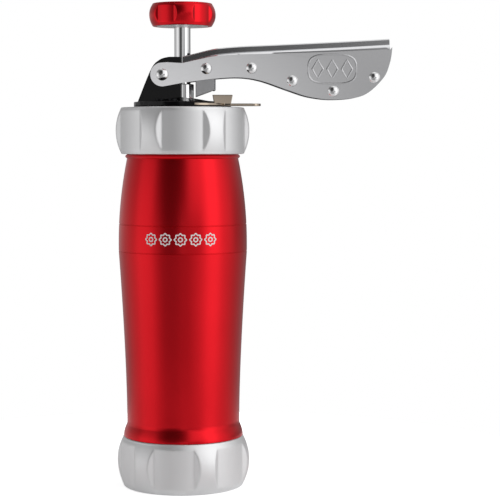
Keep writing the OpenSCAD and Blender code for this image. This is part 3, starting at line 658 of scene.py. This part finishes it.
headSize = {"boss": 23.55, "hub": 24.95, "roofRim": 25.55, "roofTop": 27.85, "bossR": 24.0, "hubR": 16.6,
            "ringR": 22.3, "wellX": 14.2, "wellHalf": 6.9, "open": 76, "openR": 15.8, "bushR": 5.65,
            "towerHalf": 6.5, "towerIn": 5.3, "towerWall": 1.6, "towerTop": 47.55, "towerEdge": -0.8,
            "towerReach": 21.4, "cone": (14.5, 0.46), "coneTop": 6, "coneSoft": 0.25, "cutTall": 9,
            "cutReach": 40, "shelfDrop": 0.6}
baseSize = {"bore": 5.62, "roof": 20.95, "springR": 11.5, "foot": 8.05, "stem": 16.0, "web": 14.85,
            "skirtIn": 22.5, "skirtFoot": 10.35, "skirt": 25.2, "flangeFoot": 17.85, "flange": 27.2,
            "flangeTop": 20.55}


def wellCutter(z):  # the dog's end dips into this space
    s = headSize
    return blockShape("wellCutter", (0, -s["wellHalf"], z), (s["wellX"], s["wellHalf"], z + s["cutTall"]))


def baseOutline():
    s, b = headSize, baseSize
    return [(b["bore"], b["roof"]), (b["springR"], b["roof"]), (b["springR"], b["foot"]),
            (b["stem"], b["foot"]), (b["stem"], b["web"]), (b["skirtIn"], b["web"]),
            (b["skirtIn"], b["skirtFoot"]), (b["skirt"], b["skirtFoot"]), (b["skirt"], b["flangeFoot"]),
            (b["flange"], b["flangeFoot"]), (b["flange"], b["flangeTop"]), (s["bossR"], b["flangeTop"]),
            (s["bossR"], s["boss"]), (s["hubR"], s["boss"]), (s["hubR"], s["hub"]), (b["bore"], s["hub"]),
            (b["bore"], b["roof"])]


basePiece = latheShape("headBase", baseOutline(), 160)
cutWith(basePiece, wellCutter(headSize["boss"] - 0.8))
finishEdges(basePiece, 0.25, smooth=35)
liftPiece(basePiece, seam)
finishPiece(basePiece, "head", blackAbs, "black_moulding", "head_base")


def towerOutline(inset):  # the tower from the side, drawn in by its wall's thickness for the hollow
    s = headSize
    foot, top = s["boss"] + 0.2, s["towerTop"]
    x = s["towerEdge"] - s["towerReach"] + inset * 1.3
    knots = [(x, foot + 1.2), (x + 6.7, top - 6.3), (x + 10.6, top - 1.7 - inset * 0.6),
             (x + 14.8, top - 0.15 - inset), (x + 19, top - inset)]
    return [(s["towerEdge"], foot), (x, foot)] + bentCurve(knots, 7) + [(s["towerEdge"], top - inset)]


def pocketCutter():  # the regulator's ring turns in this space
    s = headSize
    outline = [(0, s["boss"] - 1), (s["ringR"], s["boss"] - 1), (s["ringR"], s["hub"]), (0, s["hub"])]
    return latheShape("pocketCutter", outline, 96)


def bushCutter(top):  # room for the bush
    s = headSize
    return roundBar("bushCutter", s["bushR"], (0, 0, s["boss"] - 2), (0, 0, top), 96)


def headRoof():  # a low cone, cut away under the lever where the regulator swings
    s = headSize
    foot, edge, rim, soft = s["boss"] + 0.1, s["bossR"], s["roofRim"], s["coneSoft"]
    roof = latheShape("headTower", [(0, foot), (edge, foot), (edge, rim - soft), (edge - soft, rim),
                                    (s["cone"][0], rim + s["cone"][1]), (s["coneTop"], s["roofTop"]),
                                    (0, s["roofTop"])], 160)
    cutWith(roof, pocketCutter())
    sweep = arcPoints(0, 0, s["cutReach"], -s["open"], s["open"], 8)
    ring = arcPoints(0, 0, s["openR"], s["open"], -s["open"], 38)
    cutWith(roof, plateShape("swingCutter", sweep + ring, s["cutTall"], flatPlace(s["boss"] - 1)))
    cutWith(roof, wellCutter(s["boss"] - 1))
    cutWith(roof, bushCutter(s["roofTop"] + 2))
    finishEdges(roof, 0.2, degrees=35)
    return roof


def leverTower():  # a hollow wall that carries the lever's pivot, open towards the rod
    s = headSize
    half, inner, wall, shelf = s["towerHalf"], s["towerIn"], s["towerWall"], s["roofTop"] - s["shelfDrop"]
    tower = plateShape("towerWall", towerOutline(0), 2 * half, uprightPlace(-half))
    softEdges(tower, 0.45, 3, 40)
    hollow = towerOutline(wall)[2:-1] + [(8, s["towerTop"] - wall), (8, shelf), (-19.5, shelf)]
    cutWith(tower, plateShape("hollowCutter", hollow, 2 * inner, uprightPlace(-inner)))
    cutWith(tower, blockShape("topCutter", (s["towerEdge"] - 6, -inner, shelf), (8, inner, 53)))
    cutWith(tower, pocketCutter())
    cutWith(tower, bushCutter(s["roofTop"] + 20))
    smoothShade(tower)
    flattenBroadFaces(tower)
    return tower


towerPiece = joinPieces("headTower", [headRoof(), leverTower()])
liftPiece(towerPiece, seam)
finishPiece(towerPiece, "head", blackAbs, "black_moulding", "head_tower")

bushSize = {"bore": 4.05, "foot": 19.75, "flange": 7.2, "flangeTop": 20.9, "outer": 5.6, "top": 34.35,
            "flangeSoft": 0.2, "soft": 0.3}
rodSize = {"radius": 4.0, "soft": 0.3}


def bushOutline():
    b = bushSize
    bore, outer, soft, edge = b["bore"], b["outer"], b["soft"], b["flangeSoft"]
    return [(bore, b["foot"]), (b["flange"] - edge, b["foot"]), (b["flange"], b["foot"] + edge),
            (b["flange"], b["flangeTop"]), (outer, b["flangeTop"]), (outer, b["top"] - soft),
            (outer - soft, b["top"]), (bore + soft, b["top"]), (bore, b["top"] - soft), (bore, b["foot"])]


def rodOutline():
    low, high = (corner[2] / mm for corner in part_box("piston_rod"))
    radius, soft = rodSize["radius"], rodSize["soft"]
    return [(0.0, low), (radius - soft, low), (radius, low + soft), (radius, high - soft),
            (radius - soft, high), (0.0, high)]


bushPiece = latheShape("guideBush", bushOutline(), 96)
smoothShade(bushPiece, 30)
liftPiece(bushPiece, seam)
finishPiece(bushPiece, "head", mirrorSteel, "bright_steel", "guide_bush")
rodPiece = latheShape("pistonRod", rodOutline(), 96)
smoothShade(rodPiece, 30)
finishPiece(rodPiece, "plunger", mirrorSteel, "bright_steel", "piston_rod")
print("head and rod made")


# Regulator

regSize = {"z": 23.65, "thick": 1.2, "ring": 22.0, "hub": 16.66, "reach": 38.7, "half": 4.5,
           "dimpleX": 33.2, "dimpleR": 1.3, "dimpleZ": 0.6, "tabX": 15.4, "tabWide": 8.4, "tabFlare": 0.8,
           "tabTop": 29, "tabY": -8.1, "tabThick": 1.4}


def regulatorPlate():  # a ring with an arm at the side, and a stop tab that stands up from it
    s = regSize
    z, ring, half, left, right = s["z"], s["ring"], s["half"], s["tabX"], s["tabX"] + s["tabWide"]
    armTurn = math.degrees(math.asin(half / ring))
    tabTurn = math.degrees(math.asin(-s["tabY"] / ring))
    outline = arcPoints(s["reach"] - half, 0, half, -90, 90, 24)
    outline += arcPoints(0, 0, ring, armTurn, 360 - tabTurn, 90)
    outline += [(right, s["tabY"]), (right, -half)]
    plate = plateShape("regulatorPlate", outline, s["thick"], flatPlace(z))
    cutWith(plate, roundBar("hubCutter", s["hub"], (0, 0, 20), (0, 0, 30), 128))
    cutWith(plate, roundBar("dimpleCutter", s["dimpleR"], (s["dimpleX"], 0, z + s["dimpleZ"]),
                            (s["dimpleX"], 0, z + 3), 32))
    finishEdges(plate, 0.2)
    foot = z + s["thick"]
    tabOutline = [(left, z + 0.1), (right, z + 0.1), (right, foot), (right + s["tabFlare"], s["tabTop"]),
                  (left - s["tabFlare"], s["tabTop"]), (left, foot)]
    tab = plateShape("stopTab", tabOutline, s["tabThick"], uprightPlace(s["tabY"]))
    finishEdges(tab, 0.35, 3)
    return joinPieces("regulatorPlate", [plate, tab])


regulatorPiece = regulatorPlate()
liftPiece(regulatorPiece, seam)
finishPiece(regulatorPiece, "regulator", nickelPlate, "nickel_plate", "regulator")


# Drive dog and springs

dogSize = {"left": 6.5, "right": 15.7, "foot": 28.05, "kinkX": 7.4, "kinkZ": 2.7, "rise": 3.6,
           "corner": 3.6, "cornerDrop": 1.4, "back": 2.2, "endDrop": 1.9, "half": 6.2, "sheet": 1.0}


def dogChannel():  # two flanges and the end that joins them
    s = dogSize
    left, right, half, sheet, pinZ = s["left"], s["right"], s["half"], s["sheet"], pinSize["dogZ"]
    heel, cornerZ = s["foot"] + s["rise"], pinZ - s["cornerDrop"]
    outline = [(left, s["foot"]), (left + s["kinkX"], s["foot"] + s["kinkZ"]), (right, heel)]
    outline += [(right, cornerZ)] + arcPoints(right - s["corner"], cornerZ, s["corner"], 0, 90, 10)
    outline += [(left, pinZ + s["back"])]
    parts = []
    for y in (-half, half - sheet):
        side = plateShape("dogSide", outline, sheet, uprightPlace(y))
        finishEdges(side, 0.2)
        parts.append(side)
    end = blockShape("dogEnd", (right - sheet, -half + 0.3, heel),
                     (right - 0.02, half - 0.3, pinZ - s["endDrop"]))
    finishEdges(end, 0.15)
    return joinPieces("driveDog", parts + [end])


dogPiece = dogChannel()
liftPiece(dogPiece, seam)
finishPiece(dogPiece, "dog", dogSteel, "grey_steel", "drive_dog")


dogSpringSize = {"coil": 2.45, "wire": 0.3, "pitch": 0.62, "turns": 14, "half": 4.34,
                 "legTop": (pinSize["dogX"], 44.2), "bend": (15.4, 43.5, 0.7), "hook": (15.6, 31.75, 0.5),
                 "legEnd": (14.9, 31.25)}
returnSpringSize = {"coil": 2.9, "wire": 0.4, "pitch": 0.82, "turns": 9, "half": 3.7, "leg": (0.2, 3)}
brakeSpringSize = {"coil": 6.2, "wire": 0.4, "pitch": 1.7, "turns": 4, "foot": 11.15}


def coilSpring(name, size):  # a wire ring wound up by the screw modifier
    clearSelection()
    bpy.ops.mesh.primitive_circle_add(vertices=12, radius=size["wire"] * mm, rotation=(math.pi / 2, 0, 0),
                                      location=(size["coil"] * mm, 0, 0))
    piece = namedPiece(name)
    bakePlace(piece)
    steps = int(20 * size["turns"])
    addModifier(piece, "SCREW", axis="Z", angle=math.tau * size["turns"], steps=steps, render_steps=steps,
                screw_offset=size["pitch"] * size["turns"] * mm, use_normal_calculate=True)
    applyAll(piece)
    openMesh("EDGE")
    bpy.ops.mesh.fill_holes(sides=16)  # caps the wire's two ends
    closeMesh()
    return piece


def wireRun(name, points, wire):  # a bent wire through (x, z) points in the middle of the lever
    clearSelection()
    data = bpy.data.curves.new(name, "CURVE")
    data.dimensions = "3D"
    spline = data.splines.new("POLY")
    spline.points.add(len(points) - 1)
    for dot, (x, z) in zip(spline.points, points):
        dot.co = (x * mm, 0, z * mm, 1)
    data.bevel_depth = wire * mm
    data.bevel_resolution = 4
    data.use_fill_caps = True
    piece = bpy.data.objects.new(name, data)
    bpy.context.collection.objects.link(piece)
    pickOnly(piece)
    bpy.ops.object.convert(target="MESH")
    return bpy.context.object


def layAcross(piece, x, z, half):  # turns a coil from Z to Y and lays it round a pin
    piece.location = (x * mm, -half * mm, z * mm)
    piece.rotation_euler = (-math.pi / 2, 0, 0)
    bakePlace(piece)


def dogSpring():  # its leg runs over the channel and down the end
    s = dogSpringSize
    coil = coilSpring("dogSpring", s)
    layAcross(coil, pinSize["dogX"], pinSize["dogZ"], s["half"])
    leg = [s["legTop"]] + arcPoints(*s["bend"], 90, 0, 5) + arcPoints(*s["hook"], 0, -90, 5) + [s["legEnd"]]
    return joinPieces("dogSpring", [coil, wireRun("dogLeg", leg, s["wire"])])


def returnSpring():
    s = returnSpringSize
    coil = coilSpring("returnSpring", s)
    layAcross(coil, px, pz, s["half"])
    x = px - s["coil"]
    leg = wireRun("returnLeg", [(x, pz), (x + s["leg"][0], pz + s["leg"][1])], s["wire"])
    return joinPieces("returnSpring", [coil, leg])


dogSpringPiece = dogSpring()
smoothShade(dogSpringPiece, 40)
liftPiece(dogSpringPiece, seam)
finishPiece(dogSpringPiece, "dog", springSteel, "spring_steel", "dog_spring")
returnPiece = returnSpring()
smoothShade(returnPiece, 40)
liftPiece(returnPiece, seam)
finishPiece(returnPiece, "lever", springSteel, "spring_steel", "return_spring")
brakeCoil = coilSpring("brakeSpring", brakeSpringSize)
smoothShade(brakeCoil, 40)
liftPiece(brakeCoil, seam + brakeSpringSize["foot"])
finishPiece(brakeCoil, "head", springSteel, "spring_steel", "brake_spring")
print("dog, regulator and springs made")


# Printed row on the barrel and raised badge on the lever

def outlineBand(name, outer, inner, thick, place):  # a closed line between two outlines of as many points
    count = len(outer)
    piece = pointLoop(name, [place(u, v) for u, v in outer], "NOTHING")
    openMesh("EDGE")
    bpy.ops.mesh.extrude_edges_move(TRANSFORM_OT_translate={"value": (0, 0, 0)})
    bpy.ops.object.mode_set(mode="OBJECT")
    for edge in piece.data.edges:
        a, b = sorted(edge.vertices)
        if a < count <= b:
            piece.data.vertices[b].co = Vector(place(*inner[a])) * mm
    bpy.ops.object.mode_set(mode="EDIT")
    closeMesh()
    addModifier(piece, "SOLIDIFY", thickness=thick * mm, offset=0)
    applyAll(piece)
    return piece


def turnPoints(reach, count, u=0.0):  # points round (u, 0), with reach(angle) giving both distances
    angles = [math.tau * i / count for i in range(count)]
    return [(u + reach(a)[0] * math.cos(a), reach(a)[1] * math.sin(a)) for a in angles]


markSize = {"count": 5, "pitch": 7.4, "middle": -1.2, "z": 124.3, "radius": 2.95, "wave": 0.3, "waves": 8,
            "line": 0.72, "hole": 1.25, "holeLine": 0.6, "thick": 0.05}


def barrelRow():  # a row of small biscuit outlines wrapped round the front of the barrel
    m = markSize
    parts = []

    def wrapped(u, v):
        radius = barrelRadius(m["z"] + v) + 0.02
        return radius * math.sin(u / radius), -radius * math.cos(u / radius), m["z"] + v

    def wavy(cut):
        return lambda a: [m["radius"] - cut + m["wave"] * math.cos(m["waves"] * a)] * 2

    def hole(cut):
        return lambda a: [m["hole"] - cut] * 2

    for i in range(m["count"]):
        u = m["middle"] + (i - (m["count"] - 1) / 2) * m["pitch"]
        for shape, line, steps in ((wavy, m["line"], 96), (hole, m["holeLine"], 40)):
            parts.append(outlineBand("mark", turnPoints(shape(0), steps, u),
                                     turnPoints(shape(line), steps, u), m["thick"], wrapped))
    return joinPieces("barrelRow", parts)


rowPiece = barrelRow()
finishPiece(rowPiece, "barrel", inkWhite)

badgeSize = {"x": 73.4, "z": 41.6, "half": (12.2, 7.5), "line": 0.8, "tall": 0.6, "square": 0.62,
             "lozenge": (3.1, 5.0), "lozengeLine": 0.88, "pitch": 7.2}


def leverBadge():  # raised outline with three lozenges, pressed into the lever's front cheek
    b = badgeSize

    def onCheek(u, v):
        return b["x"] + u, -leverSize["outer"], b["z"] + v

    def rounded(cut):  # between an oval and a rectangle
        return lambda a: [(half - cut) * abs(f(a)) ** (b["square"] - 1) if abs(f(a)) > 1e-6 else half - cut
                          for half, f in zip(b["half"], (math.cos, math.sin))]

    def lozenge(cut):
        return lambda a: [(half - cut) / (abs(math.cos(a)) + abs(math.sin(a))) for half in b["lozenge"]]

    bands = [(rounded, b["line"], 96, 0)]
    bands += [(lozenge, b["lozengeLine"], 48, i * b["pitch"]) for i in (-1, 0, 1)]
    parts = [outlineBand("badge", turnPoints(shape(0), steps, u), turnPoints(shape(line), steps, u),
                         b["tall"], onCheek) for shape, line, steps, u in bands]
    piece = joinPieces("leverBadge", parts)
    finishEdges(piece, 0.14, smooth=35)
    return piece


badgePiece = leverBadge()
liftPiece(badgePiece, seam)
finishPiece(badgePiece, "lever", leverChrome, "chromed_sheet")
print("row and badge made")


# CAD nodes that keep their shape

keptFinish = {"biscuit_disc": discMetal, "tower_screws": blackSteel, "brake_plate": dogSteel,
              "brake_cover": dogSteel, "cover_screws": dogSteel, "lever_spacers": dogSteel,
              "grip_plate": dogSteel, "piston": pistonPlastic, "piston_seal": sealRubber,
              "piston_washer": dogSteel, "piston_screw": dogSteel}
for name, finish in keptFinish.items():
    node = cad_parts[name]
    node.data.materials.clear()
    node.data.materials.append(finish)


# Floor, light and camera

paperLook = {"tints": ("#e2e2e2", "#e9e9e9"), "rough": (0.85, 0.95), "grainMm": 1.5, "patchMm": 40,
             "bump": 0.3}
paperWhite = {"near": 0.05, "far": 0.18, "atNear": 0.7, "atFar": 1.0, "inGloss": 0.25}


def whitePaperSweep():  # seamless matt paper: keeps the soft shadow near the foot, plain white further out
    mat = grainedMaterial("WhitePaperSweep", paperLook)
    tree = mat.node_tree
    bsdf = tree.nodes["Principled BSDF"]
    coord = addNode(tree, "TexCoord")
    away = addNode(tree, "VectorMath", {0: coord.outputs["Object"]}, operation="LENGTH")
    fade = addNode(tree, "MapRange", {"Value": away.outputs["Value"], "From Min": paperWhite["near"],
                                      "From Max": paperWhite["far"], "To Min": paperWhite["atNear"],
                                      "To Max": paperWhite["atFar"]}, interpolation_type="SMOOTHSTEP")
    path = addNode(tree, "LightPath")
    seen = addNode(tree, "Math", {0: path.outputs["Is Glossy Ray"], 1: paperWhite["inGloss"],
                                  2: path.outputs["Is Camera Ray"]}, operation="MULTIPLY_ADD")
    lift = addNode(tree, "Math", {0: seen.outputs["Value"], 1: fade.outputs["Result"]},
                   operation="MULTIPLY")
    bsdf.inputs["Emission Color"].default_value = (1, 1, 1, 1)
    tree.links.new(lift.outputs["Value"], bsdf.inputs["Emission Strength"])
    return mat


clearSelection()
bpy.ops.mesh.primitive_circle_add(vertices=96, radius=0.22, fill_type="NGON")
floor = bpy.context.object
floor.name = "paperFloor"
floor.data.materials.append(whitePaperSweep())


def softLamp(name, azimuth, height, away, size, power):  # azimuth from the front towards the lever
    light = bpy.data.lights.new(name, "AREA")
    light.shape = "RECTANGLE"
    light.size, light.size_y = size
    light.energy = power
    lamp = bpy.data.objects.new(name, light)
    bpy.context.collection.objects.link(lamp)
    turn = math.radians(azimuth)
    lamp.location = (away * math.sin(turn), -away * math.cos(turn), height)
    lamp.rotation_euler = (Vector((0, 0, 0.13)) - lamp.location).to_track_quat("-Z", "Y").to_euler()
    lamp.visible_camera = False


softLamp("rightBox", 56, 0.36, 0.9, (0.45, 1.0), 0.9)
softLamp("leftBox", -73, 0.22, 0.9, (0.6, 0.7), 0.55)
softLamp("topBox", 150, 1.1, 0.25, (0.8, 0.8), 0.9)

# brightness of the room round the object, by degrees from the front towards the lever
# each row's key says how far up that direction points, from below eye level upwards
roomBands = {-0.16: [(-180, 0.28), (-130, 0.35), (-110, 0.6), (-98, 0.72), (-54, 0.72), (-40, 0.36),
                     (8, 0.38), (22, 0.7), (38, 1.0), (72, 1.0), (90, 0.7), (112, 0.5), (137, 0.35),
                     (180, 0.28)],
             0.0: [(-180, 0.1), (-160, 0.55), (-110, 0.6), (-54, 0.6), (-40, 0.6), (-36, 0.05),
                   (-7, 0.06), (-4, 1.25), (1, 1.1), (6, 0.35), (20, 0.33), (24, 0.05), (34, 0.06),
                   (38, 1.0), (82, 1.0), (98, 0.8), (106, 0.3), (180, 0.1)],
             0.15: [(-180, 0.3), (-130, 0.35), (-110, 0.5), (-54, 0.5), (-40, 0.12), (3, 0.12),
                    (11, 1.0), (40, 1.15), (82, 1.0), (98, 0.7), (120, 0.4), (180, 0.3)],
             0.42: [(-180, 0.35), (-120, 0.3), (-54, 0.2), (-40, 0.06), (-1, 0.06), (7, 0.2),
                    (16, 1.1), (82, 1.1), (98, 0.6), (180, 0.35)]}
overhead = {"from": 0.82, "to": 0.95, "glow": 0.65}


def studioWorld():  # bright panels and dark gaps round the object, open above, plain white to the camera
    world = bpy.data.worlds.new("studioRoom")
    bpy.context.scene.world = world
    world.use_nodes = True
    tree = world.node_tree
    back = tree.nodes["Background"]
    coord = addNode(tree, "TexCoord")
    axes = addNode(tree, "SeparateXYZ", {"Vector": coord.outputs["Generated"]})
    front = addNode(tree, "Math", {0: axes.outputs["Y"], 1: -1.0}, operation="MULTIPLY")
    turn = addNode(tree, "Math", {0: axes.outputs["X"], 1: front.outputs["Value"]}, operation="ARCTAN2")
    share = addNode(tree, "MapRange", {"Value": turn.outputs["Value"], "From Min": -math.pi,
                                       "From Max": math.pi})
    room = None
    below = 0.0
    for height, bands in roomBands.items():
        ramp = addNode(tree, "ValToRGB", {"Fac": share.outputs["Result"]})
        setRamp(ramp, [((a + 180) / 360, (v, v, v, 1)) for a, v in bands])
        if room:
            up = addNode(tree, "MapRange", {"Value": axes.outputs["Z"], "From Min": below,
                                            "From Max": height})
            room = addNode(tree, "Mix", {0: up.outputs["Result"], 6: room, 7: ramp.outputs["Color"]},
                           data_type="RGBA").outputs[2]
        else:
            room = ramp.outputs["Color"]
        below = height
    over = addNode(tree, "MapRange", {"Value": axes.outputs["Z"], "From Min": overhead["from"],
                                      "From Max": overhead["to"]})
    room = addNode(tree, "Mix", {0: over.outputs["Result"], 6: room, 7: (*[overhead["glow"]] * 3, 1)},
                   data_type="RGBA").outputs[2]
    path = addNode(tree, "LightPath")
    seen = addNode(tree, "Mix", {0: path.outputs["Is Camera Ray"], 6: room, 7: (1, 1, 1, 1)},
                   data_type="RGBA")
    tree.links.new(seen.outputs[2], back.inputs["Color"])
    back.inputs["Strength"].default_value = 1.0


studioWorld()
scene = bpy.context.scene
scene.view_settings.view_transform = "Standard"
camSize = {"away": 0.82, "high": 0.1719, "pan": 2.33, "tilt": 3.81, "lens": 118.944, "sensor": 36}
camData = bpy.data.cameras.new("frontCamera")
camData.sensor_width = camSize["sensor"]
camData.lens = camSize["lens"]
camera = bpy.data.objects.new("frontCamera", camData)
scene.collection.objects.link(camera)
camera.location = (0, -camSize["away"], camSize["high"])
camera.rotation_euler = [math.radians(a) for a in (90 - camSize["tilt"], 0, -camSize["pan"])]
scene.camera = camera
print("lights and camera set")
